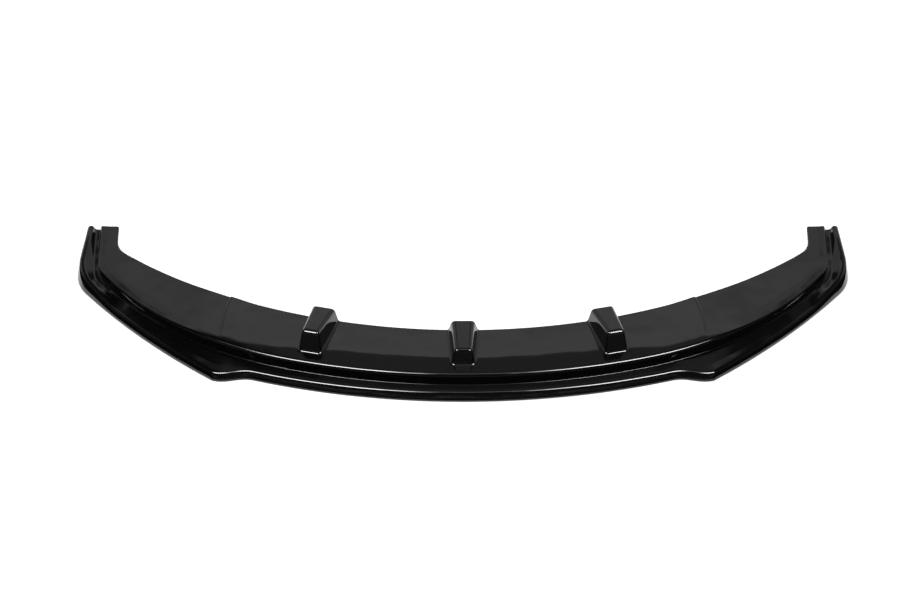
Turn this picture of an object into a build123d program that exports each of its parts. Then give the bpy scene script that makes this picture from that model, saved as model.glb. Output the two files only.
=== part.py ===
"""Front splitter lip for a car's bumper, thermoformed in one piece from gloss black sheet."""
import os
from math import asin, atan2, cos, degrees, radians, sin, tan

from build123d import *

# Overall size, in millimetres, with the front at -Y and the lower edge on Z 0
WIDTH = 1740.0
DEPTH = 530.0
SHEET = 4.0
FRONT = -DEPTH / 2
REAR = DEPTH / 2

# Lip outline in plan: a wide arc, a forward flick to a corner, then a swept end and a straight side
LIP_RADIUS = 1512.0
END_LENGTH = 342.0
CORNER_HEADING = 18.0
FLICK_LENGTH = 88.0
FLICK_FORWARD = 0.5
FLICK_PULL = 0.4
SWEEP_RADIUS = 1800.0
SIDE_LENGTH = 144.0
SIDE_ROUND = 120.0
CORNER_X = WIDTH / 2 - END_LENGTH
FLICK_X = CORNER_X - FLICK_LENGTH

# Front edge of the raised flange in plan: tangent arcs out to a bend, then straight along the channel
EDGE_SETBACK = 29.0
EDGE_RADIUS = 1400.0
EDGE_LEAD = 142.0
BEND_ROUND = 80.0
CHANNEL_LENGTH = 151.0
CHANNEL_FRONT = 59.5
CHANNEL_REAR = 43.0

# Trimmed rear edge in plan: one arc between the inner edges of the end tabs
REAR_SETBACK = 165.0
TAB_WIDTH = 40.0
TAB_LENGTH = 84.0
TAB_INNER_ROUND = 65.0
TAB_CORNER_ROUND = 6.0

# Cross-section: front face, shelf, wall and flange, with each bend's radius on its inside
LIP_HEIGHT = 20.0
LIP_LAND = 5.0
LIP_LEAN = 6.0
SHELF_HEIGHT = 22.0
SHELF_DIP = 0.6
SHELF_BREAK = 0.6
WALL_LEAN = 4.0
FLANGE_HEIGHT = 50.0
CROWN_RUN = 45.0
CROWN_RISE = 4.5
FLANGE_RISE = 1.0
LAND_INSIDE = 8.0
EDGE_INSIDE = 2.0
SHELF_INSIDE = 8.0
FOOT_INSIDE = 4.0
CROWN_INSIDE = 198.0

# Ridge on the rear of the flange beside the corner: a ramp up, then a steep step down
RIDGE_HEIGHT = 5.0
RIDGE_LEAD = 13.0
RIDGE_RAMP = 60.0
RIDGE_STEP = 5.0
RIDGE_X = CORNER_X - RIDGE_LEAD

# Swept end: the flange is dished and steps up to a tab, and the lip climbs to a fin
SWEPT_TURN = 27.0
DISH_RUN = 22.0
DISH_DROP = 1.5
END_SHELF_HEIGHT = 27.0
END_LIP_INSIDE = 6.0
TAB_HEIGHT = 55.0
TAB_START = 63.0
TAB_TURN = 9.0
VALLEY_DEPTH = 10.0
VALLEY_START = 53.0
FIN_RISE = 18.0
FIN_START = 46.0
FIN_LEAN = 17.0
FIN_FOOT = 10.0
GUTTER_END = 0.25
CLIMB_POWER = 1.15
FIN_HEIGHT = TAB_HEIGHT + FIN_RISE

# Mounting bosses: hollow wedges that point at the centre of the flange's arc
BOSS_ANGLE = 13.6
BOSS_SETBACK = 29.0
BOSS_FRONT_BASE = 48.0
BOSS_FRONT_TOP = 36.0
BOSS_REAR_BASE = 63.0
BOSS_REAR_TOP = 48.0
BOSS_ROUND = 7.0
BOSS_FOOT = 3.0
BOSS_FOOT_FLARE = 40.0
CENTRE_BOSS_FRONT = 35.4
CENTRE_BOSS_REAR = 27.4
CENTRE_BOSS_LEAN = 6.0
SIDE_BOSS_FRONT = 48.4
SIDE_BOSS_REAR = 33.0
SIDE_BOSS_LEAN = 12.0

# Sheet left beyond the trimmed edges while forming, and the stations of the sections
WASTE = 20.0
END_INNER = 175.0
CENTRE_STEPS = 6
FLICK_STEPS = 4
END_BEARINGS = (9, 18, 27, 35, 42, 48, 53, 57, 60, 63, 66, 69, 73, 81, 90)

# Plan outlines of the right half
bend = Vector(WIDTH / 2 - CHANNEL_FRONT, REAR - CHANNEL_LENGTH)
tab_outer = Vector(WIDTH / 2 - CHANNEL_REAR, REAR)
edge_turn = degrees(asin((CORNER_X - EDGE_LEAD) / EDGE_RADIUS))
with BuildLine() as edge_plan:
    centre_arc = JernArc((0, FRONT + EDGE_SETBACK), (1, 0), EDGE_RADIUS, edge_turn)
    TangentArc(centre_arc @ 1, bend, tangent=centre_arc % 1)
    Line(bend, tab_outer + (tab_outer - bend).normalized() * WASTE)
    fillet(edge_plan.vertices().sort_by_distance(bend)[0], BEND_ROUND)

corner_way = Vector(cos(radians(CORNER_HEADING)), sin(radians(CORNER_HEADING)))
pull = FLICK_LENGTH * FLICK_PULL
with BuildLine() as lip_plan:
    lip_arc = JernArc((0, FRONT), (1, 0), LIP_RADIUS, degrees(asin(FLICK_X / LIP_RADIUS)))
    corner = lip_arc @ 1 + Vector(FLICK_LENGTH, -FLICK_FORWARD)
    Bezier(lip_arc @ 1, lip_arc @ 1 + (lip_arc % 1) * pull, corner - corner_way * pull, corner)
    sweep_arc = RadiusArc(corner, (WIDTH / 2, REAR - SIDE_LENGTH), -SWEEP_RADIUS)
    Line(sweep_arc @ 1, (WIDTH / 2, REAR + WASTE))
    fillet(lip_plan.vertices().sort_by_distance(sweep_arc @ 1)[0], SIDE_ROUND)

pivot = Vector(RIDGE_X + RIDGE_STEP, REAR)
corner_bearing = degrees(atan2(corner.X - pivot.X, pivot.Y - corner.Y))

tab_inner = tab_outer - Vector(TAB_WIDTH, 0)
tab_root = tab_inner - (tab_outer - bend) * (TAB_LENGTH / CHANNEL_LENGTH)
with BuildLine() as rear_plan:
    rear_arc = ThreePointArc((-tab_root.X, tab_root.Y), (0, FRONT + REAR_SETBACK), tab_root)


def reach(outline, plane):
    """How far out along the plane's own x axis it meets a plan outline."""
    hits = []
    for piece in outline.edges():
        for hit in piece.intersect(plane) or []:
            hits.append((Vector(hit) - plane.origin).dot(plane.x_dir))
    return max(hits)


def ease(share):
    """Smooth step from 0 to 1."""
    share = min(max(share, 0), 1)
    return share * share * (3 - 2 * share)


def climb(bearing, start):
    """Share of the climb from a starting bearing to the rear of the swept end."""
    return max(0, (bearing - start) / (90 - start)) ** CLIMB_POWER


def blend(low, high, share):
    """Value or point that lies a share of the way from low to high."""
    return low + (high - low) * share


def inner_chain(points):
    """The same open chain of points, moved to the hidden face of the sheet."""
    moved = []
    ways = [(b - a).normalized() for a, b in zip(points, points[1:])]
    sides = [Vector(-way.Y, way.X) for way in ways]
    for point, side, other in zip(points[1:-1], sides, sides[1:]):
        middle = (side + other).normalized()
        moved.append(point + middle * (SHEET / middle.dot(side)))
    start = points[0] - Vector(SHEET, 0)
    end = points[-1] - Vector(0, SHEET)
    return [start, *moved, end]


def draw_rounded(corners, rounds):
    """Closed chain of lines through the corners, with a smooth curve at each corner that has a radius."""
    ways = [(b - a).normalized() for a, b in zip(corners, corners[1:] + corners[:1])]
    starts = []
    ends = []
    for corner, radius, way_in, way_out in zip(corners, rounds, ways[-1:] + ways[:-1], ways):
        turn = radians(way_in.get_angle(way_out))
        starts.append(corner - way_in * radius * tan(turn / 2))
        ends.append(corner + way_out * radius * tan(turn / 2))
        if radius:
            pull = radius * tan(turn / 4) * 4 / 3
            Bezier(starts[-1], starts[-1] + way_in * pull, ends[-1] - way_out * pull, ends[-1])
    for end, start in zip(ends, starts[1:] + starts[:1]):
        Line(end, start)


def draw_section(lip, edge, rear, bearing, ridge):
    """Closed outline of the sheet: lip, shelf, wall, flange edge, knee and rear, then back underneath."""
    swept = ease(bearing / SWEPT_TURN)
    fin = climb(bearing, FIN_START)
    tab = ease((bearing - TAB_START) / TAB_TURN)
    opened = ease(fin / GUTTER_END)
    edge_height = blend(FLANGE_HEIGHT, TAB_HEIGHT, tab)
    shelf_height = blend(SHELF_HEIGHT, END_SHELF_HEIGHT, swept)
    foot_height = blend(shelf_height, TAB_HEIGHT - VALLEY_DEPTH, climb(bearing, VALLEY_START))
    top = Vector(lip - blend(LIP_LEAN, FIN_LEAN, fin), blend(LIP_HEIGHT, FIN_HEIGHT, fin))
    foot = Vector(edge + WALL_LEAN, foot_height)
    shelf = blend(foot, top, SHELF_BREAK)
    gutter = foot + Vector(FIN_FOOT, 0)
    low = blend(shelf, gutter, opened) - Vector(0, SHELF_DIP)
    knee_run = blend(CROWN_RUN, DISH_RUN, swept)
    knee = Vector(edge - knee_run, edge_height + blend(CROWN_RISE, -DISH_DROP, swept))
    back = Vector(rear, edge_height + (CROWN_RISE + FLANGE_RISE) * (1 - tab) + ridge)
    land = Vector(lip, LIP_LAND)
    outer = [Vector(lip, 0), land, top, low, foot, Vector(edge, edge_height), knee, back]
    lip_inside = blend(EDGE_INSIDE, END_LIP_INSIDE, swept * (1 - opened))
    insides = [LAND_INSIDE, lip_inside, SHELF_INSIDE, FOOT_INSIDE, EDGE_INSIDE, CROWN_INSIDE]
    bulges = [True, True, False, False, True, swept < 0.5]
    outer_rounds = [size + SHEET * bulge for size, bulge in zip(insides, bulges)]
    inner_rounds = [size + SHEET * (not bulge) for size, bulge in zip(insides, bulges)]
    rounds = [0, *outer_rounds, 0, 0, *inner_rounds[::-1], 0]
    draw_rounded(outer + inner_chain(outer)[::-1], rounds)


def centre_section(x):
    """Sheet outline at x, the same on both sides of the centre line."""
    side = Plane((abs(x), 0, 0), x_dir=(0, -1, 0), z_dir=(-1, 0, 0))
    lip = reach(lip_plan, side)
    edge = reach(edge_plan, side)
    rear = reach(rear_plan, side) - WASTE
    ridge = RIDGE_HEIGHT * ease((abs(x) - RIDGE_X + RIDGE_RAMP) / RIDGE_RAMP)
    with BuildSketch(Plane((x, 0, 0), x_dir=(0, -1, 0), z_dir=(-1, 0, 0))) as section:
        with BuildLine():
            draw_section(lip, edge, rear, 0, ridge)
        make_face()
    return section.sketch


def end_section(bearing):
    """Sheet outline on a plane through the pivot of the swept end, turned out from straight ahead."""
    way = Vector(sin(radians(bearing)), -cos(radians(bearing)))
    plane = Plane(pivot, x_dir=way, z_dir=(way.Y, -way.X, 0))
    with BuildSketch(plane) as section:
        with BuildLine():
            draw_section(reach(lip_plan, plane), reach(edge_plan, plane), END_INNER, bearing, 0)
        make_face()
    return section.sketch


def wedge_face(front_half, rear_half, length):
    """Four-sided face that widens towards the rear."""
    corners = [(-front_half, 0), (front_half, 0), (rear_half, length), (-rear_half, length)]
    Polygon(*corners, align=None)


def tilted(y, z, length, rise):
    """Plane that runs towards the rear from a point on the centre line, climbing by rise over length."""
    slope = atan2(rise, length)
    return Plane((0, y, z), (1, 0, 0), (0, -sin(slope), cos(slope)))


def boss_block(front_height, rear_height, lean, inset):
    """Wedge on the centre line, with the centre of the flange's arc as origin: a boss, or its hollow."""
    front = inset - EDGE_RADIUS + BOSS_SETBACK
    length = REAR_SETBACK - EDGE_SETBACK - BOSS_SETBACK + WASTE / 2
    seat_front = FLANGE_HEIGHT + CROWN_RISE * BOSS_SETBACK / CROWN_RUN
    seat_rear = FLANGE_HEIGHT + CROWN_RISE + FLANGE_RISE
    seat = tilted(front, seat_front, length, seat_rear - seat_front)
    fall = rear_height - front_height
    top = tilted(front + lean, seat_front + front_height - inset, length - lean, fall)
    slant = ((length - lean) ** 2 + fall**2) ** 0.5
    with BuildPart() as block:
        with BuildSketch(seat.offset(BOSS_FOOT)):
            wedge_face(BOSS_FRONT_BASE / 2 - inset, BOSS_REAR_BASE / 2 - inset, length)
        with BuildSketch(top):
            wedge_face(BOSS_FRONT_TOP / 2 - inset, BOSS_REAR_TOP / 2 - inset, slant)
        loft(ruled=True)
        base = block.faces().sort_by(Axis.Z)[0]
        if inset:
            extrude(base, amount=WASTE, dir=(0, 0, -1))
        else:
            fillet(block.edges() - base.edges(), BOSS_ROUND)
            foot = block.faces().sort_by(Axis.Z)[0]
            extrude(foot, amount=BOSS_FOOT + SHEET / 2, taper=-BOSS_FOOT_FLARE)
    return block.part


# Sheet behind the trimmed rear edge
past_tab = tab_inner + Vector(TAB_WIDTH / 2, 0)
with BuildSketch() as rear_waste:
    with BuildLine() as outline:
        add(rear_arc.trim(0.5, 1))
        Polyline(tab_root, tab_inner, past_tab, past_tab + Vector(0, WASTE), (0, REAR + WASTE), rear_arc @ 0.5)
        fillet(outline.vertices().sort_by_distance(tab_root)[0], TAB_INNER_ROUND)
        fillet(outline.vertices().sort_by_distance(tab_inner)[0], TAB_CORNER_ROUND)
    make_face()
    mirror(about=Plane.YZ)

# Stations of the middle, from the centre line out to the ridge, then on both sides
half_stations = [FLICK_X * step / CENTRE_STEPS for step in range(CENTRE_STEPS)]
half_stations += [blend(FLICK_X, RIDGE_X, step / FLICK_STEPS) for step in range(FLICK_STEPS + 1)]
stations = [-x for x in half_stations[:0:-1]] + half_stations

# Right end: the steep step beside the ridge, then the swept end
with BuildPart() as right_end:
    loft([centre_section(RIDGE_X), end_section(0)], ruled=True)
    loft([end_section(bearing) for bearing in (0, corner_bearing, *END_BEARINGS)], ruled=True)

# Bosses and their hollows, each with the places that it stands in
arc_centre = (0, FRONT + EDGE_SETBACK + EDGE_RADIUS)
centre_place = [Location(arc_centre)]
side_places = [Location(arc_centre, (0, 0, angle)) for angle in (-BOSS_ANGLE, BOSS_ANGLE)]
centre_sizes = (CENTRE_BOSS_FRONT, CENTRE_BOSS_REAR, CENTRE_BOSS_LEAN)
side_sizes = (SIDE_BOSS_FRONT, SIDE_BOSS_REAR, SIDE_BOSS_LEAN)
bosses = [
    (centre_place, boss_block(*centre_sizes, 0), boss_block(*centre_sizes, SHEET)),
    (side_places, boss_block(*side_sizes, 0), boss_block(*side_sizes, SHEET)),
]

with BuildPart() as splitter_lip:
    loft([centre_section(x) for x in stations], ruled=True)
    for places, boss, hollow in bosses:
        with Locations(*places):
            add(boss)
            add(hollow, mode=Mode.SUBTRACT)
    add(right_end.part)
    mirror(right_end.part, about=Plane.YZ)
    extrude(rear_waste.sketch, amount=FIN_HEIGHT * 2, mode=Mode.SUBTRACT)

splitter_lip.part.label = "splitter_lip"
os.makedirs("parts", exist_ok=True)
export_step(splitter_lip.part, "parts/splitter_lip.step")
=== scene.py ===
"""Front splitter lip: a smooth gloss black skin for the CAD part, on a white studio table."""
from math import acos, asin, atan2, cos, degrees, pi, radians, sin, tan

import bpy
import numpy as np
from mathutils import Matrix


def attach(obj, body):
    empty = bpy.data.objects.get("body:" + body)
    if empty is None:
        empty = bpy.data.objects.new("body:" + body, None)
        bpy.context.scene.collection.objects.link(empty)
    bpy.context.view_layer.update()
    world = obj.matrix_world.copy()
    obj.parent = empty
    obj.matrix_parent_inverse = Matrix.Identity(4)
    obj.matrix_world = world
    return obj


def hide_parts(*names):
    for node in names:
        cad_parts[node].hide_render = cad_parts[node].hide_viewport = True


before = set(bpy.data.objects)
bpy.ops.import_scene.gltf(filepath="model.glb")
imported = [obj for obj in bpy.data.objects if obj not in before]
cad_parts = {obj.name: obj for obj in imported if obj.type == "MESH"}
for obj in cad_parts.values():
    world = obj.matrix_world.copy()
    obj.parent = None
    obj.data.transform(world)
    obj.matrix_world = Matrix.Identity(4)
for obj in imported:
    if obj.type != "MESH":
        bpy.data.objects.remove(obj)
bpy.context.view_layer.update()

# Overall sizes in millimetres; the surfaces run on past the trimmed rear by the waste, and at
# the corners of the sheet the end columns have a weight in where the rim looks
MM = 0.001
WIDTH = 1740.0
DEPTH = 530.0
FRONT = -DEPTH / 2
REAR = DEPTH / 2
SHEET = 4.0
RIM_ROUND = 0.7
RIM_END_WEIGHT = 0.2
WASTE = 20.0

# Plan of the lip: a wide arc, a forward flick at the corner, the swept end and the side
LIP_RADIUS = 1512.0
END_LENGTH = 342.0
CORNER_X = WIDTH / 2 - END_LENGTH
CORNER_HEADING = 18.0
FLICK_LENGTH = 88.0
FLICK_FORWARD = 0.5
FLICK_PULL = 0.4
FLICK_X = CORNER_X - FLICK_LENGTH
SWEEP_RADIUS = 1800.0
SIDE_LENGTH = 144.0
SIDE_ROUND = 120.0

# Plan of the flange: its front edge, the channel beside the tab, its rear edge and the tab
EDGE_SETBACK = 29.0
EDGE_RADIUS = 1400.0
EDGE_LEAD = 142.0
BEND_ROUND = 80.0
CHANNEL_LENGTH = 151.0
CHANNEL_FRONT = 59.5
CHANNEL_REAR = 43.0
REAR_SETBACK = 165.0
TAB_WIDTH = 40.0
TAB_LENGTH = 84.0
TAB_INNER_ROUND = 65.0
TAB_CORNER_ROUND = 6.0

# Section of the middle: lip, shelf, wall and a flange with a crowned band behind its edge
LIP_HEIGHT = 20.0
LIP_LAND = 5.0
LIP_LEAN = 6.0
SHELF_HEIGHT = 25.5
SHELF_DIP = 0.6
SHELF_BREAK = 0.6
WALL_LEAN = 4.0
FLANGE_HEIGHT = 50.0
FLANGE_RISE = 1.0
CROWN_RUN = 45.0
CROWN_RISE = 4.5
CROWN_SLOPE = CROWN_RISE / CROWN_RUN
CROWN_EVEN = 220.0
CROWN_END_RUN = 15.0
LAND_ROUND = 12.0
SHELF_ROUND = 8.0
FOOT_ROUND = 1.5
EDGE_ROUND = 8.0
CROWN_ROUND = 200.0

# Low ridge on the flange: it climbs slowly towards the corner and ends in a slanting step
RIDGE_HEIGHT = 3.0
RIDGE_START = 442.0
RIDGE_LEAD = 13.0
RIDGE_STEP = 5.0
RIDGE_SLOPE = 4.0
RIDGE_SLANT = 11.0
RIDGE_BEND = 4
CREST_SETBACK = 1.0
RIDGE_X = CORNER_X - RIDGE_LEAD
CREST_X = RIDGE_X - CREST_SETBACK

# Section of the swept end, by the bearing in degrees from its pivot: the flange dishes and
# rises to the tab, the shelf rises to the channel's floor and the lip climbs to a fin
SWEPT_TURN = 27.0
DISH_RUN = 22.0
DISH_DROP = 1.5
END_SHELF_HEIGHT = 27.0
END_LIP_ROUND = 10.0
END_EDGE_ROUND = 3.0
END_INNER = 175.0
TAB_HEIGHT = 55.0
TAB_START = 34.0
TAB_TURN = 40.0
VALLEY_DEPTH = 10.0
VALLEY_START = 53.0
FIN_START = 46.0
FIN_ABOVE_TAB = 18.0
FIN_HEIGHT = TAB_HEIGHT + FIN_ABOVE_TAB
FIN_LEAN = 17.0
FIN_FOOT = 10.0
GUTTER_END = 0.25
CLIMB_POWER = 1.15

# Bosses: the outer ones stand at an angle in degrees round the centre of the flange's edge;
# each kind has a front height, a rear height and a lean of its front
BOSS_ANGLE = 13.6
BOSS_SETBACK = 29.0
BOSS_LENGTH = REAR_SETBACK - EDGE_SETBACK - BOSS_SETBACK + WASTE / 2
BOSS_FRONT_BASE = 48.0
BOSS_FRONT_TOP = 36.0
BOSS_REAR_BASE = 63.0
BOSS_REAR_TOP = 48.0
BOSS_SPREAD = (BOSS_REAR_BASE / BOSS_FRONT_BASE - 1) / BOSS_LENGTH
BOSS_SEAT = FLANGE_HEIGHT + CROWN_RISE * BOSS_SETBACK / CROWN_RUN
BOSS_ROUND = 7.0
BOSS_FOOT = 3.0
BOSS_FOOT_ROUND = 4.0
CENTRE_BOSS = (35.4, 27.4, 6.0)
SIDE_BOSS = (48.4, 33.0, 12.0)
BOSSES = ((0.0, CENTRE_BOSS), (BOSS_ANGLE, SIDE_BOSS))

# Fineness of the outlines, and how far past the midline they start, in radians
POINT_SPACING = 0.5
FLICK_POINTS = 200
PAST_MIDLINE = 0.05
ARC_START = -pi / 2 - PAST_MIDLINE

# Steps along the rounds of the section and the runs between them, from the lower edge up
ROUND_STEPS = (5, 9, 6, 7, 9)
RUN_STEPS = (3, 3, 5, 4, 4)

# Rows of the flange behind its edge, and columns beside a boss, at the ridge and in the swept
# end: joined ranges of (start, stop, count) with single values before or after them
ROW_FIRST = 5.5
ROW_LAST = 136.0
ROW_RANGES = ((ROW_FIRST, 25.0, 8), (25.0, 40.0, 24), (40.0, 50.0, 9), (50.0, 134.8, 12))
BOSS_INSIDE = (0.0, 4.0, 8.0)
BOSS_WALL = (10.5, 28.5, 22)
BOSS_OUTSIDE = (30.5, 34.0, 39.0)
COLUMNS_BETWEEN_BOSSES = 26
COLUMNS_TO_RIDGE = 8
RIDGE_CLIMB_COLUMNS = 12
RIDGE_DROP_COLUMNS = 6
COLUMNS_TO_END = 2
BEARINGS_PAST_CORNER = (1.7, 3.0)
BEARING_RANGES = ((3.0, 44.0, 22), (44.0, 52.0, 7), (52.0, 72.0, 26), (72.0, 87.0, 13))
REAR_BEARINGS = (87.8, 88.5, 89.1, 89.6, 90.0)

# Search for the height of a boss: how far below and above the flange, in how many halvings,
# and what share of a wall's height its lean goes on for past the wall
SEARCH_BELOW = 0.01
SEARCH_ABOVE = 70.0
SEARCH_HALVINGS = 36
PAST_BOSS_WALL = 0.2


def mix(low, high, share):
    return low + (high - low) * share


def ease(share):
    share = np.clip(share, 0, 1)
    return share * share * (3 - 2 * share)


def unit(v):
    return v / np.linalg.norm(v)


def joined(ranges):
    """Even steps over joined ranges of (start, stop, count), without the first start."""
    return np.concatenate([np.linspace(*span)[1:] for span in ranges])


def between(start, stop, count):
    """Even steps between two values, without either."""
    return mix(start, stop, np.linspace(0, 1, count + 2)[1:-1, None])


# Plan outlines of the right half, as fine chains of points
def arc_points(centre, radius, start, stop):
    """Closely spaced points on an arc between two angles in radians."""
    count = max(3, int(abs(stop - start) * radius / POINT_SPACING))
    angles = np.linspace(start, stop, count)
    return centre + radius * np.stack([np.cos(angles), np.sin(angles)], -1)


def straight(start, stop):
    """Closely spaced points on a straight line."""
    count = max(2, int(np.linalg.norm(stop - start) / POINT_SPACING))
    return mix(start, stop, np.linspace(0, 1, count)[:, None])


def bearing_of(point, centre):
    return atan2(point[1] - centre[1], point[0] - centre[0])


def arc_into_line(centre, radius, start, through, way, rounding):
    """Arc from a start angle, rounded to the left into the line through a point."""
    normal = np.array([-way[1], way[0]])
    base = through + normal * rounding - centre
    along = base @ way
    run = -along - (along**2 - base @ base + (radius - rounding) ** 2) ** 0.5
    middle = centre + base + way * run
    turn_start = bearing_of(middle, centre)
    turn_stop = bearing_of(middle - normal, middle)
    arc = arc_points(centre, radius, start, turn_start)
    bend = arc_points(middle, rounding, turn_start, turn_stop)
    return np.concatenate([arc, bend[1:]])


def lip_outline():
    """Front outline: a wide arc, a forward flick, then the swept end and the side."""
    middle = np.array([0, FRONT + LIP_RADIUS])
    turn = asin(FLICK_X / LIP_RADIUS)
    centre = arc_points(middle, LIP_RADIUS, ARC_START, turn - pi / 2)
    start = centre[-1]
    corner = start + np.array([FLICK_LENGTH, -FLICK_FORWARD])
    pull = FLICK_LENGTH * FLICK_PULL
    leave = start + np.array([cos(turn), sin(turn)]) * pull
    heading = radians(CORNER_HEADING)
    arrive = corner - np.array([cos(heading), sin(heading)]) * pull
    t = np.linspace(0, 1, FLICK_POINTS)[1:, None]
    flick = (
        (1 - t) ** 3 * start
        + 3 * (1 - t) ** 2 * t * leave
        + 3 * (1 - t) * t**2 * arrive
        + t**3 * corner
    )
    side = np.array([WIDTH / 2, REAR - SIDE_LENGTH])
    chord = side - corner
    length = np.linalg.norm(chord)
    inward = np.array([-chord[1], chord[0]]) / length
    sweep = corner + chord / 2 + inward * (SWEEP_RADIUS**2 - length**2 / 4) ** 0.5
    corner_turn = bearing_of(corner, sweep)
    backward = np.array([0, 1.0])
    end = arc_into_line(sweep, SWEEP_RADIUS, corner_turn, side, backward, SIDE_ROUND)
    tail = straight(end[-1], np.array([WIDTH / 2, REAR + WASTE]))
    return np.concatenate([centre, flick, end[1:], tail[1:]])


BEND = np.array([WIDTH / 2 - CHANNEL_FRONT, REAR - CHANNEL_LENGTH])
TAB_OUTER = np.array([WIDTH / 2 - CHANNEL_REAR, REAR])
CHANNEL_WAY = (TAB_OUTER - BEND) / np.linalg.norm(TAB_OUTER - BEND)
EDGE_CENTRE = np.array([0, FRONT + EDGE_SETBACK + EDGE_RADIUS])


def edge_outline():
    """Front edge of the flange: two tangent arcs, a bend, then straight along the channel."""
    turn = asin((CORNER_X - EDGE_LEAD) / EDGE_RADIUS)
    centre = arc_points(EDGE_CENTRE, EDGE_RADIUS, ARC_START, turn - pi / 2)
    start = centre[-1]
    normal = np.array([-sin(turn), cos(turn)])
    chord = BEND - start
    radius = chord @ chord / (2 * chord @ normal)
    middle = start + normal * radius
    outer = arc_into_line(middle, radius, turn - pi / 2, BEND, CHANNEL_WAY, BEND_ROUND)
    tail = straight(outer[-1], TAB_OUTER + CHANNEL_WAY * WASTE)
    return np.concatenate([centre, outer[1:], tail[1:]])


def rear_outline():
    """Trimmed rear edge: one arc, rounded into the tab's inner side, then the tab's corner."""
    inner = TAB_OUTER - np.array([TAB_WIDTH, 0])
    root = inner - (TAB_OUTER - BEND) * (TAB_LENGTH / CHANNEL_LENGTH)
    rise = root[1] - FRONT - REAR_SETBACK
    radius = (root[0] ** 2 + rise**2) / (2 * rise)
    middle = np.array([0, FRONT + REAR_SETBACK + radius])
    arc = arc_into_line(middle, radius, ARC_START, root, CHANNEL_WAY, TAB_INNER_ROUND)
    lean = atan2(CHANNEL_WAY[1], CHANNEL_WAY[0])
    setback = TAB_CORNER_ROUND * tan(lean / 2)
    turn = inner - CHANNEL_WAY * setback
    middle = inner + np.array([setback, -TAB_CORNER_ROUND])
    corner = arc_points(middle, TAB_CORNER_ROUND, lean + pi / 2, pi / 2)
    return np.concatenate([arc, straight(arc[-1], turn)[1:], corner])


LIP = lip_outline()
EDGE = edge_outline()
TRIM = rear_outline()
PIVOT = np.array([RIDGE_X + RIDGE_STEP, REAR])


def y_of(outline, x):
    return np.interp(x, outline[:, 0], outline[:, 1])


def reach(outline, way, pick):
    """How far from the pivot of the swept end a ray meets a plan outline."""
    side = (outline - PIVOT) @ np.array([way[1], -way[0]])
    along = (outline - PIVOT) @ way
    i = np.nonzero((side[:-1] * side[1:] <= 0) & (along[:-1] > 0))[0]
    if not len(i):
        return along[-1]
    share = side[i] / (side[i] - side[i + 1])
    return pick(along[i] + share * (along[i + 1] - along[i]))


# Cross-section of the sheet's shown face
def climb(bearing, start):
    """Share of the climb towards the rear of the swept end."""
    return max(0, (bearing - start) / (90 - start)) ** CLIMB_POWER


def tab_share(bearing):
    return ease((bearing - TAB_START) / TAB_TURN)


def rounded(before, corner, after, radius, steps):
    """Points along the arc that rounds a corner."""
    way_in = unit(corner - before)
    way_out = unit(after - corner)
    turn = acos(np.clip(way_in @ way_out, -1, 1))
    start = corner - way_in * radius * tan(turn / 2)
    side = unit(way_out - way_in * cos(turn))
    angles = np.linspace(0, turn, steps + 1)[:, None]
    return start + way_in * radius * np.sin(angles) + side * radius * (1 - np.cos(angles))


def crown_of(x):
    """Run and rise from the edge to the knee in the middle, narrowing towards the corner."""
    narrowing = ease((x - CROWN_EVEN) / (RIDGE_X - CROWN_EVEN))
    run = mix(CROWN_RUN, CROWN_END_RUN, narrowing)
    return run, run * CROWN_SLOPE


def knee_of(bearing):
    """Run and rise from the edge to the knee at the swept end, where the crown dishes."""
    swept = ease(bearing / SWEPT_TURN)
    run = mix(CROWN_END_RUN, DISH_RUN, swept)
    return run, mix(CROWN_END_RUN * CROWN_SLOPE, -DISH_DROP, swept)


def front_profile(lip, edge, knee, bearing):
    """Points (reach, height) from the lower edge over lip, shelf and wall to the flange.

    The height of the flange's edge is returned with them.
    """
    swept = ease(bearing / SWEPT_TURN)
    fin = climb(bearing, FIN_START)
    opened = ease(fin / GUTTER_END)
    valley = climb(bearing, VALLEY_START)
    height = mix(FLANGE_HEIGHT, TAB_HEIGHT, tab_share(bearing))
    shelf_height = mix(SHELF_HEIGHT, END_SHELF_HEIGHT, swept)
    foot_height = mix(shelf_height, TAB_HEIGHT - VALLEY_DEPTH, valley)
    top = np.array([lip - mix(LIP_LEAN, FIN_LEAN, fin), mix(LIP_HEIGHT, FIN_HEIGHT, fin)])
    foot = np.array([edge + WALL_LEAN, foot_height])
    shelf = mix(foot, top, SHELF_BREAK)
    gutter = foot + np.array([FIN_FOOT, 0])
    low = mix(shelf, gutter, opened) - np.array([0, SHELF_DIP])
    start = np.array([lip, 0.0])
    land = np.array([lip, LIP_LAND])
    brow = np.array([edge, height])
    behind = np.array([edge - knee[0], height + knee[1]])
    corners = [start, land, top, low, foot, brow, behind]
    lip_round = mix(EDGE_ROUND, END_LIP_ROUND, swept * (1 - opened))
    edge_round = mix(EDGE_ROUND, END_EDGE_ROUND, swept)
    radii = (LAND_ROUND, lip_round, SHELF_ROUND, FOOT_ROUND, edge_round)
    points = [start[None]]
    for i, (radius, steps, runs) in enumerate(zip(radii, ROUND_STEPS, RUN_STEPS)):
        bend = rounded(*corners[i : i + 3], radius, steps)
        shares = np.linspace(0, 1, runs + 1)[1:-1, None]
        points += [mix(points[-1][-1], bend[0], shares), bend]
    return np.concatenate(points), height


def flange_height(s, height, knee_run, knee_rise, length, rise):
    """Height of the flange at a distance s behind its edge: two slopes with a soft knee."""
    first = knee_rise / knee_run
    second = (rise - knee_rise) / (length - knee_run)
    half = np.abs(first - second) * CROWN_ROUND / 2
    into = np.clip(s - (knee_run - half), 0, None)
    soft = np.minimum(into, 2 * half)
    past = np.clip(into - 2 * half, 0, None)
    return height + first * s + (second - first) * (soft**2 / (4 * half) + past)


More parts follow.
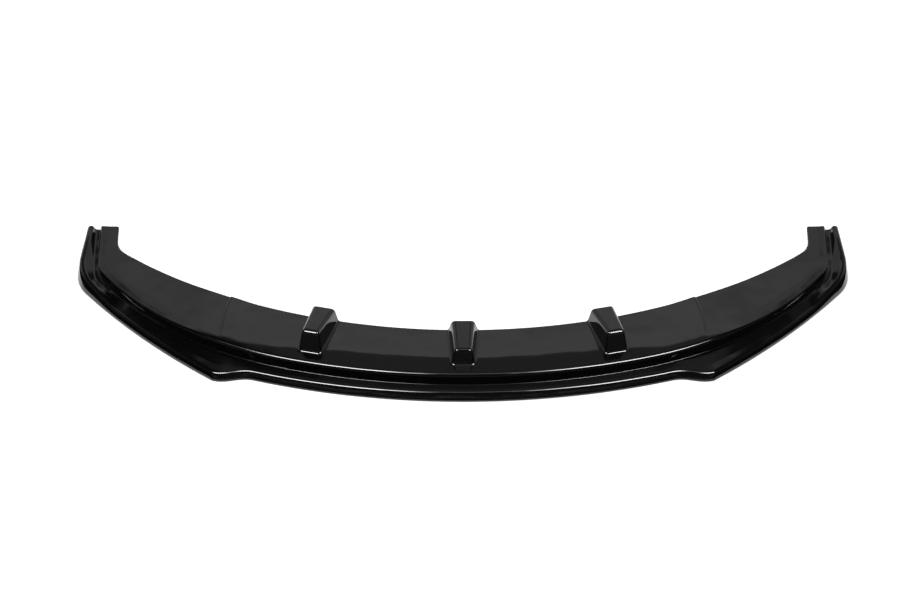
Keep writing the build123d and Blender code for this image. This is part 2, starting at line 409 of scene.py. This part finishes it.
def boss_field(u, q, z, sizes):
    """Signed distance to a rounded wedge: u to the side, q behind its front, z up."""
    front_height, rear_height, lean = sizes
    rear_seat = FLANGE_HEIGHT + CROWN_RISE + FLANGE_RISE
    seat = mix(BOSS_SEAT, rear_seat, q / BOSS_LENGTH) + BOSS_FOOT
    drop = (rear_height - front_height) / (BOSS_LENGTH - lean)
    top = BOSS_SEAT + front_height + drop * (q - lean)
    share = np.clip((z - seat) / (top - seat), -PAST_BOSS_WALL, 1 + PAST_BOSS_WALL)
    base_half = mix(BOSS_FRONT_BASE, BOSS_REAR_BASE, q / BOSS_LENGTH) / 2
    top_half = mix(BOSS_FRONT_TOP, BOSS_REAR_TOP, (q - lean) / (BOSS_LENGTH - lean)) / 2
    wall = np.cos(np.arctan2(base_half - top_half, top - seat))
    side = (np.abs(u) - mix(base_half, top_half, share)) * wall
    front = (lean * share - q) * cos(atan2(lean, front_height))
    lid = (z - top) * cos(atan2(drop, 1))
    walls = np.stack([side, front, lid]) + BOSS_ROUND
    inside = np.minimum(walls.max(0), 0)
    outside = np.linalg.norm(np.clip(walls, 0, None), axis=0)
    return inside + outside - BOSS_ROUND


def with_bosses(x, y, base):
    """Height of the flange with the bosses grown out of it, their feet rounded."""
    low = base - SEARCH_BELOW
    high = base + SEARCH_ABOVE
    local = []
    for angle, sizes in BOSSES:
        a = radians(angle)
        dx = x - EDGE_CENTRE[0]
        dy = y - EDGE_CENTRE[1]
        u = dx * cos(a) + dy * sin(a)
        v = -dx * sin(a) + dy * cos(a)
        local.append((u, v + EDGE_RADIUS - BOSS_SETBACK, sizes))
    r = BOSS_FOOT_ROUND
    for _ in range(SEARCH_HALVINGS):
        z = (low + high) / 2
        ground = z - base
        boss = np.minimum.reduce([boss_field(u, q, z, sizes) for u, q, sizes in local])
        near = np.hypot(np.clip(r - ground, 0, None), np.clip(r - boss, 0, None))
        field = np.maximum(r, np.minimum(ground, boss)) - near
        low = np.where(field < 0, z, low)
        high = np.where(field < 0, high, z)
    return high


# Rows of the flange, as shares of the way from its edge to the trimmed rear
flange_rows = np.concatenate([joined(ROW_RANGES), [ROW_LAST]])
SHARES = (flange_rows - ROW_FIRST) / (ROW_LAST - ROW_FIRST)

# Columns of the middle: x where each crosses the flange's edge and its trimmed rear
beside_boss = np.concatenate([BOSS_INSIDE, np.linspace(*BOSS_WALL), BOSS_OUTSIDE])
boss_offsets = np.concatenate([-beside_boss[:0:-1], beside_boss])


def boss_columns(angle):
    """Columns that fan out along a boss's sides."""
    a = radians(angle)
    rear = REAR_SETBACK - EDGE_SETBACK
    edge_spread = 1 - BOSS_SETBACK * BOSS_SPREAD
    rear_spread = 1 + (rear - BOSS_SETBACK) * BOSS_SPREAD
    at_edge = sin(a) * EDGE_RADIUS + cos(a) * boss_offsets * edge_spread
    at_rear = sin(a) * (EDGE_RADIUS - rear) + cos(a) * boss_offsets * rear_spread
    return np.stack([at_edge, at_rear], -1)


centre_columns = boss_columns(0)[len(beside_boss) - 1 :]
side_columns = boss_columns(BOSS_ANGLE)
ridge_foot = np.full(2, RIDGE_START)
middle_columns = np.concatenate(
    [
        centre_columns,
        between(centre_columns[-1], side_columns[0], COLUMNS_BETWEEN_BOSSES),
        side_columns,
        between(side_columns[-1], ridge_foot, COLUMNS_TO_RIDGE),
    ]
)

# Columns of the ridge, with the share of its height that each has
crest = np.array([CREST_X, CREST_X - RIDGE_SLANT])
climbs = np.linspace(0, 1, RIDGE_CLIMB_COLUMNS)
drops = np.linspace(0, 1, RIDGE_DROP_COLUMNS)[1:]
ridge_columns = np.concatenate(
    [
        mix(ridge_foot, crest, climbs[:, None]),
        crest + RIDGE_SLOPE * drops[:, None],
        between(crest + RIDGE_SLOPE, np.full(2, PIVOT[0]), COLUMNS_TO_END),
    ]
)
ridge_shares = np.concatenate([ease(climbs), 1 - ease(drops), np.zeros(COLUMNS_TO_END)])


def middle_column(x_edge, x, ridge=0):
    """Points of one column of the middle, from the lower edge to the trimmed rear."""
    edge_reach = -y_of(EDGE, x_edge)
    profile, height = front_profile(-y_of(LIP, x_edge), edge_reach, crown_of(x_edge), 0)
    front = np.stack([np.full(len(profile), x_edge), -profile[:, 0], profile[:, 1]], -1)
    edge = y_of(EDGE, x)
    trim = y_of(TRIM, x)
    s = mix(edge_reach - profile[-1, 0], trim - edge, SHARES)
    y = edge + s
    length = trim + WASTE - edge
    run, rise = crown_of(x)
    z = flange_height(s, height, run, rise, length, CROWN_RISE + FLANGE_RISE)
    z += RIDGE_HEIGHT * ridge * np.clip((s - run) / (length - run), 0, 1)
    return np.concatenate([front, np.stack([x, y, with_bosses(x, y, z)], -1)])


def end_column(bearing):
    """Points of one column of the swept end, on a ray from its pivot."""
    way = np.array([sin(radians(bearing)), -cos(radians(bearing))])
    lip = reach(LIP, way, max)
    edge = reach(EDGE, way, max)
    trim = reach(TRIM, way, min)
    knee = knee_of(bearing)
    profile, height = front_profile(lip, edge, knee, bearing)
    s = mix(edge - profile[-1, 0], edge - trim, SHARES)
    rise = (CROWN_RISE + FLANGE_RISE) * (1 - tab_share(bearing))
    inner = mix(trim - WASTE, END_INNER, ease(bearing / SWEPT_TURN))
    z = flange_height(s, height, *knee, edge - inner, rise)
    plan = PIVOT + np.concatenate([profile[:, 0], edge - s])[:, None] * way
    return np.column_stack([plan, np.concatenate([profile[:, 1], z])])


corner_offset = LIP[np.argmax(LIP[:, 0] >= CORNER_X)] - PIVOT
corner_bearing = degrees(atan2(corner_offset[0], -corner_offset[1]))
bearings = np.concatenate(
    [
        [0, corner_bearing / 2, corner_bearing],
        BEARINGS_PAST_CORNER,
        joined(BEARING_RANGES),
        REAR_BEARINGS,
    ]
)
columns = [middle_column(edge, mix(edge, rear, SHARES)) for edge, rear in middle_columns]
for (edge, rear), ridge in zip(ridge_columns, ridge_shares):
    columns.append(middle_column(edge, mix(edge, rear, SHARES**RIDGE_BEND), ridge))
columns += [end_column(bearing) for bearing in bearings]
right_half = np.array(columns)
skin = np.concatenate([right_half[:0:-1] * np.array([-1, 1, 1]), right_half])


def mesh_object(name, points, faces):
    mesh = bpy.data.meshes.new(name)
    mesh.from_pydata(points, [], faces)
    obj = bpy.data.objects.new(name, mesh)
    bpy.context.collection.objects.link(obj)
    return obj


def sheet_object(name, outer):
    """Closed sheet from the grid of its shown face: adds a rounded rim and the hidden face."""
    columns, rows = outer.shape[:2]
    across = np.gradient(outer, axis=0)
    along = np.gradient(outer, axis=1)
    normal = np.cross(across, along)
    normal[[0, -1], :, 1] = 0
    normal /= np.linalg.norm(normal, axis=-1, keepdims=True)
    ids = np.arange(columns * rows).reshape(columns, rows)
    loop = np.concatenate([ids[:, 0], ids[-1, 1:], ids[-2::-1, -1], ids[0, -2:0:-1]])
    out = np.zeros_like(outer)
    out[:, 0] += outer[:, 0] - outer[:, 1]
    out[:, -1] += outer[:, -1] - outer[:, -2]
    out[0] += (outer[0] - outer[1]) * RIM_END_WEIGHT
    out[-1] += (outer[-1] - outer[-2]) * RIM_END_WEIGHT
    flat_outer = outer.reshape(-1, 3)
    flat_normal = normal.reshape(-1, 3)
    rim = flat_outer[loop]
    rim_normal = flat_normal[loop]
    rim_out = out.reshape(-1, 3)[loop]
    rim_out -= (rim_out * rim_normal).sum(-1, keepdims=True) * rim_normal
    rim_out /= np.linalg.norm(rim_out, axis=-1, keepdims=True)
    shown = flat_outer.copy()
    shown[loop] -= rim_out * RIM_ROUND
    hidden = shown - flat_normal * SHEET
    cut = RIM_ROUND * (1 - 0.5**0.5)
    rings = [
        rim - (rim_out + rim_normal) * cut,
        rim - rim_normal * RIM_ROUND,
        rim - rim_normal * (SHEET - RIM_ROUND),
        rim - rim_out * cut - rim_normal * (SHEET - cut),
    ]
    count = len(shown)
    points = np.concatenate([shown, hidden, *rings]) * MM
    grid = np.stack([ids[:-1, :-1], ids[1:, :-1], ids[1:, 1:], ids[:-1, 1:]], -1).reshape(-1, 4)
    strips = [loop]
    strips += [2 * count + k * len(loop) + np.arange(len(loop)) for k in range(len(rings))]
    strips += [loop + count]
    faces = [grid, grid[:, ::-1] + count]
    for upper, lower in zip(strips, strips[1:]):
        faces.append(np.stack([np.roll(upper, -1), upper, lower, np.roll(lower, -1)], -1))
    piece = mesh_object(name, points.tolist(), np.concatenate(faces).tolist())
    piece.data.polygons.foreach_set("use_smooth", [True] * len(piece.data.polygons))
    piece.data.update()
    return piece


lip = sheet_object("splitter_lip_skin", skin)


# Node helpers
def node_tree(owner):
    owner.use_nodes = True
    owner.node_tree.nodes.clear()
    return owner.node_tree


def feed(tree, value, socket):
    """Sets a socket to a number, or links it to another node."""
    if isinstance(value, (int, float)):
        socket.default_value = value
    else:
        tree.links.new(value, socket)


def surface(tree, shader, kind="ShaderNodeOutputMaterial"):
    feed(tree, shader, tree.nodes.new(kind).inputs["Surface"])


def object_place(tree):
    return tree.nodes.new("ShaderNodeTexCoord").outputs["Object"]


def axes_of(tree, vector):
    axes = tree.nodes.new("ShaderNodeSeparateXYZ")
    feed(tree, vector, axes.inputs[0])
    return axes.outputs


def noise(tree, place, scale, detail):
    node = tree.nodes.new("ShaderNodeTexNoise")
    feed(tree, scale, node.inputs["Scale"])
    feed(tree, detail, node.inputs["Detail"])
    feed(tree, place, node.inputs["Vector"])
    return node.outputs["Fac"]


def graded(tree, value, grade, kind="SMOOTHSTEP"):
    """A value graded by (from, to, result at from, result at to)."""
    node = tree.nodes.new("ShaderNodeMapRange")
    node.interpolation_type = kind
    feed(tree, value, node.inputs["Value"])
    for socket, number in zip(("From Min", "From Max", "To Min", "To Max"), grade):
        feed(tree, number, node.inputs[socket])
    return node.outputs["Result"]


def reckon(tree, operation, *values):
    node = tree.nodes.new("ShaderNodeMath")
    node.operation = operation
    for socket, value in zip(node.inputs, values):
        feed(tree, value, socket)
    return node.outputs[0]


def emission(tree, strength):
    glow = tree.nodes.new("ShaderNodeEmission")
    feed(tree, strength, glow.inputs["Strength"])
    return glow.outputs[0]


# Gloss black sheet; each noise has a scale and a detail
SHEET_IOR = 1.5
DUST_NOISE = (260, 3)
DUST_TONES = ((0.35, (0.0012, 0.0012, 0.0014, 1)), (0.75, (0.003, 0.003, 0.0032, 1)))
GLOSS_NOISE = (9, 2)
GLOSS_GRADE = (0.3, 0.7, 0.06, 0.1)
RIPPLE_NOISE = (14, 1)
RIPPLE_STRENGTH = 0.5
RIPPLE_DISTANCE = 0.0025


def gloss_black():
    """Gloss black: a faint ripple left by forming, fine dust and slightly uneven gloss."""
    material = bpy.data.materials.new("gloss_black_abs")
    tree = node_tree(material)
    place = object_place(tree)
    shader = tree.nodes.new("ShaderNodeBsdfPrincipled")
    shader.inputs["IOR"].default_value = SHEET_IOR
    tone = tree.nodes.new("ShaderNodeValToRGB")
    for element, (position, colour) in zip(tone.color_ramp.elements, DUST_TONES):
        element.position = position
        element.color = colour
    feed(tree, noise(tree, place, *DUST_NOISE), tone.inputs["Fac"])
    feed(tree, tone.outputs["Color"], shader.inputs["Base Color"])
    gloss = graded(tree, noise(tree, place, *GLOSS_NOISE), GLOSS_GRADE, "LINEAR")
    feed(tree, gloss, shader.inputs["Roughness"])
    bump = tree.nodes.new("ShaderNodeBump")
    bump.inputs["Strength"].default_value = RIPPLE_STRENGTH
    bump.inputs["Distance"].default_value = RIPPLE_DISTANCE
    feed(tree, noise(tree, place, *RIPPLE_NOISE), bump.inputs["Height"])
    feed(tree, bump.outputs["Normal"], shader.inputs["Normal"])
    surface(tree, shader.outputs["BSDF"])
    return material


lip.data.materials.append(gloss_black())
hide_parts("splitter_lip")
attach(lip, "root")

# Studio in metres: a white table under an overhead lamp, and in the gloss alone a dome, a dark
# and a grey card on the table and three soft panels above it
TABLE = 9.0
TABLE_DROP = 0.0004
TABLE_GREY = 0.6
TABLE_GLOW = 0.55
WORLD_GREY = 0.25

LAMP_PLACE = (0, 0.2, 3.4)
LAMP_SIZE = 3.0
LAMP_WATTS = 150

# Dome: grades of its light along the X, Y and Z of the direction looked in
DOME_RADIUS = 8.0
DOME_TURNS = 48
DOME_TIERS = 16
WALL_LIGHT = (0.64, 0.69, 0.53, 0.82)
WALL_TOP = (0.71, 0.75, 1, 0)
CEILING_LIGHT = (-0.25, -0.18, 0.03, 0.21)
BEHIND_PART = (-0.1, 0.45, 0.12, 1)
LEFT_END = (-0.31, -0.25, 0.04, 1)
RIGHT_END = (0.28, 0.34, 1, 0.12)
BELOW_ENDS = (0.67, 0.7, 1, 0)
# Dark gaps in the dome's wall: painted shade that the channel beside each tab shows in its
# gloss
BESIDE_GAP = (0.17, 0.23, 0.08, 1)
BETWEEN_GAPS = (0.04, 0.07, 1, 0)
ABOVE_GAP = (0.59, 0.625, 0, 1)
BELOW_GAP = (0.46, 0.5, 1, 0)

# Cards: millimetres from the lip to their near and far side, each in the middle and at the ends
CARD_LIFT = 0.0002
CARD_STRIDE = 60
DARK_CARD = ((8.0, 22.0), (100.0, 100.0), 0.012)
GREY_CARD = ((100.0, 100.0), (1500.0, 1500.0), 0.1)

# Panels: where along X each starts, is full, starts to fade and stops; its depth; its strength
PANEL_HEIGHT = 2.0
FRONT_DEPTH = (-1.6, -0.9)
TOP_DEPTH = (-0.9, -0.35)
LEFT_PANEL = ((-1.9, -1.5, -0.65, -0.15), FRONT_DEPTH, 36)
RIGHT_PANEL = ((0.3, 1.0, 2.1, 2.5), FRONT_DEPTH, 36)
TOP_PANEL = ((-2.2, -1.8, 1.8, 2.2), TOP_DEPTH, 2)


def seen_rays(tree):
    """1 for rays that show the background: from the camera, in gloss and through glass."""
    rays = tree.nodes.new("ShaderNodeLightPath").outputs
    seen = reckon(tree, "MAXIMUM", rays["Is Camera Ray"], rays["Is Glossy Ray"])
    return reckon(tree, "MAXIMUM", seen, rays["Is Transmission Ray"])


def stage_object(name, points, faces, material):
    obj = mesh_object(name, points, faces)
    obj.data.materials.append(material)
    return obj


def gloss_only(obj):
    """Shown in the gloss of the part alone."""
    obj.visible_camera = False
    obj.visible_diffuse = False
    obj.visible_transmission = False
    obj.visible_shadow = False


def white_table():
    material = bpy.data.materials.new("white_table")
    tree = node_tree(material)
    paint = tree.nodes.new("ShaderNodeBsdfDiffuse")
    paint.inputs["Color"].default_value = (TABLE_GREY, TABLE_GREY, TABLE_GREY, 1)
    both = tree.nodes.new("ShaderNodeAddShader")
    feed(tree, paint.outputs[0], both.inputs[0])
    glow = emission(tree, reckon(tree, "MULTIPLY", seen_rays(tree), TABLE_GLOW))
    feed(tree, glow, both.inputs[1])
    surface(tree, both.outputs[0])
    sides = ((-1, -1), (1, -1), (1, 1), (-1, 1))
    corners = [(x * TABLE, y * TABLE, -TABLE_DROP) for x, y in sides]
    stage_object("white_table", corners, [(0, 1, 2, 3)], material)


def studio_walls():
    """Dome that stands for the studio: pale low behind the part, dim above and in front.

    Its pale wall has two dark gaps, one on either side of the middle: painted shade,
    seen in the gloss of the channel beside each tab.
    """
    material = bpy.data.materials.new("studio_walls")
    tree = node_tree(material)
    way = tree.nodes.new("ShaderNodeVectorMath")
    way.operation = "NORMALIZE"
    feed(tree, object_place(tree), way.inputs[0])
    x, y, z = axes_of(tree, way.outputs["Vector"])
    wall = graded(tree, z, WALL_LIGHT, "LINEAR")
    wall = reckon(tree, "MULTIPLY", wall, graded(tree, z, WALL_TOP))
    light = reckon(tree, "MAXIMUM", wall, graded(tree, x, CEILING_LIGHT))
    ends = reckon(tree, "MULTIPLY", graded(tree, x, LEFT_END), graded(tree, x, RIGHT_END))
    ends = reckon(tree, "MAXIMUM", ends, graded(tree, z, BELOW_ENDS))
    # Painted shade: a dark band on either side of the middle, mirrored in the channels beside
    # the tabs
    aside = reckon(tree, "ABSOLUTE", x)
    painted_channel_shade = graded(tree, aside, BESIDE_GAP)
    for value, grade in ((aside, BETWEEN_GAPS), (z, ABOVE_GAP), (z, BELOW_GAP)):
        painted_channel_shade = reckon(tree, "MAXIMUM", painted_channel_shade, graded(tree, value, grade))
    for shade in (ends, graded(tree, y, BEHIND_PART), painted_channel_shade):
        light = reckon(tree, "MULTIPLY", light, shade)
    surface(tree, emission(tree, light))
    points = []
    for tier in range(DOME_TIERS + 1):
        lift = pi / 2 * tier / DOME_TIERS
        ring = DOME_RADIUS * cos(lift)
        for turn in range(DOME_TURNS):
            angle = 2 * pi * turn / DOME_TURNS
            points.append((ring * cos(angle), ring * sin(angle), DOME_RADIUS * sin(lift)))
    faces = []
    for tier in range(DOME_TIERS):
        for turn in range(DOME_TURNS):
            a = tier * DOME_TURNS + turn
            b = tier * DOME_TURNS + (turn + 1) % DOME_TURNS
            faces.append((a, a + DOME_TURNS, b + DOME_TURNS, b))
    gloss_only(stage_object("studio_walls", points, faces, material))


def table_card(name, start, stop, strength):
    """Card round the front and sides of the lip, seen in the gloss of the upright faces."""
    material = bpy.data.materials.new(name)
    tree = node_tree(material)
    surface(tree, emission(tree, strength))
    line = LIP[LIP[:, 0] > 0][::CARD_STRIDE]
    ahead = np.gradient(line, axis=0)
    outward = np.stack([ahead[:, 1], -ahead[:, 0]], -1)
    outward /= np.linalg.norm(outward, axis=1, keepdims=True)
    share = ease((line[:, :1] - FLICK_X) / FLICK_LENGTH)
    near = line + outward * mix(*start, share)
    far = line + outward * mix(*stop, share)
    ring = np.stack([near, far], 1)
    ring = np.concatenate([ring[::-1] * np.array([-1, 1]), ring]) * MM
    points = [(x, y, CARD_LIFT) for x, y in ring.reshape(-1, 2).tolist()]
    faces = [(2 * i, 2 * i + 1, 2 * i + 3, 2 * i + 2) for i in range(len(ring) - 1)]
    gloss_only(stage_object(name, points, faces, material))


def overhead_lamp():
    """Square soft box over the part, which lights the table and stays out of the gloss."""
    data = bpy.data.lights.new("overhead", "AREA")
    data.size = LAMP_SIZE
    data.energy = LAMP_WATTS
    lamp = bpy.data.objects.new("overhead", data)
    lamp.location = LAMP_PLACE
    lamp.visible_glossy = False
    bpy.context.collection.objects.link(lamp)


def soft_panel(name, span, depth, strength):
    """Soft panel over the camera's side of the table, fading at its ends."""
    material = bpy.data.materials.new(name)
    tree = node_tree(material)
    x = axes_of(tree, object_place(tree))["X"]
    rise = graded(tree, x, (*span[:2], 0, strength))
    fade = graded(tree, x, (*span[2:], 1, 0))
    surface(tree, emission(tree, reckon(tree, "MULTIPLY", rise, fade)))
    left, right = span[0], span[-1]
    front, back = depth
    plan = ((left, front), (right, front), (right, back), (left, back))
    corners = [(x, y, PANEL_HEIGHT) for x, y in plan]
    gloss_only(stage_object(name, corners, [(0, 1, 2, 3)], material))


def studio_world():
    """White where it is seen, and a dim grey light on everything else."""
    world = bpy.data.worlds.new("studio")
    bpy.context.scene.world = world
    tree = node_tree(world)
    choose = tree.nodes.new("ShaderNodeMixShader")
    feed(tree, seen_rays(tree), choose.inputs["Fac"])
    for grey, socket in ((WORLD_GREY, choose.inputs[1]), (1, choose.inputs[2])):
        background = tree.nodes.new("ShaderNodeBackground")
        background.inputs["Color"].default_value = (grey, grey, grey, 1)
        feed(tree, background.outputs[0], socket)
    surface(tree, choose.outputs[0], "ShaderNodeOutputWorld")


white_table()
studio_walls()
table_card("dark_card", *DARK_CARD)
table_card("grey_card", *GREY_CARD)
overhead_lamp()
soft_panel("left_panel", *LEFT_PANEL)
soft_panel("right_panel", *RIGHT_PANEL)
soft_panel("top_panel", *TOP_PANEL)
studio_world()

# Camera, fitted to the photo
SENSOR_WIDTH = 36.0
LENS = 67.89
CAMERA_PLACE = (-0.00664, -2.8954, 2.4658)
CAMERA_TILT = 50
camera_data = bpy.data.cameras.new("camera")
camera_data.sensor_width = SENSOR_WIDTH
camera_data.lens = LENS
camera = bpy.data.objects.new("camera", camera_data)
camera.location = CAMERA_PLACE
camera.rotation_euler = (radians(CAMERA_TILT), 0, 0)
bpy.context.collection.objects.link(camera)
scene = bpy.context.scene
scene.camera = camera
scene.view_settings.view_transform = "Standard"
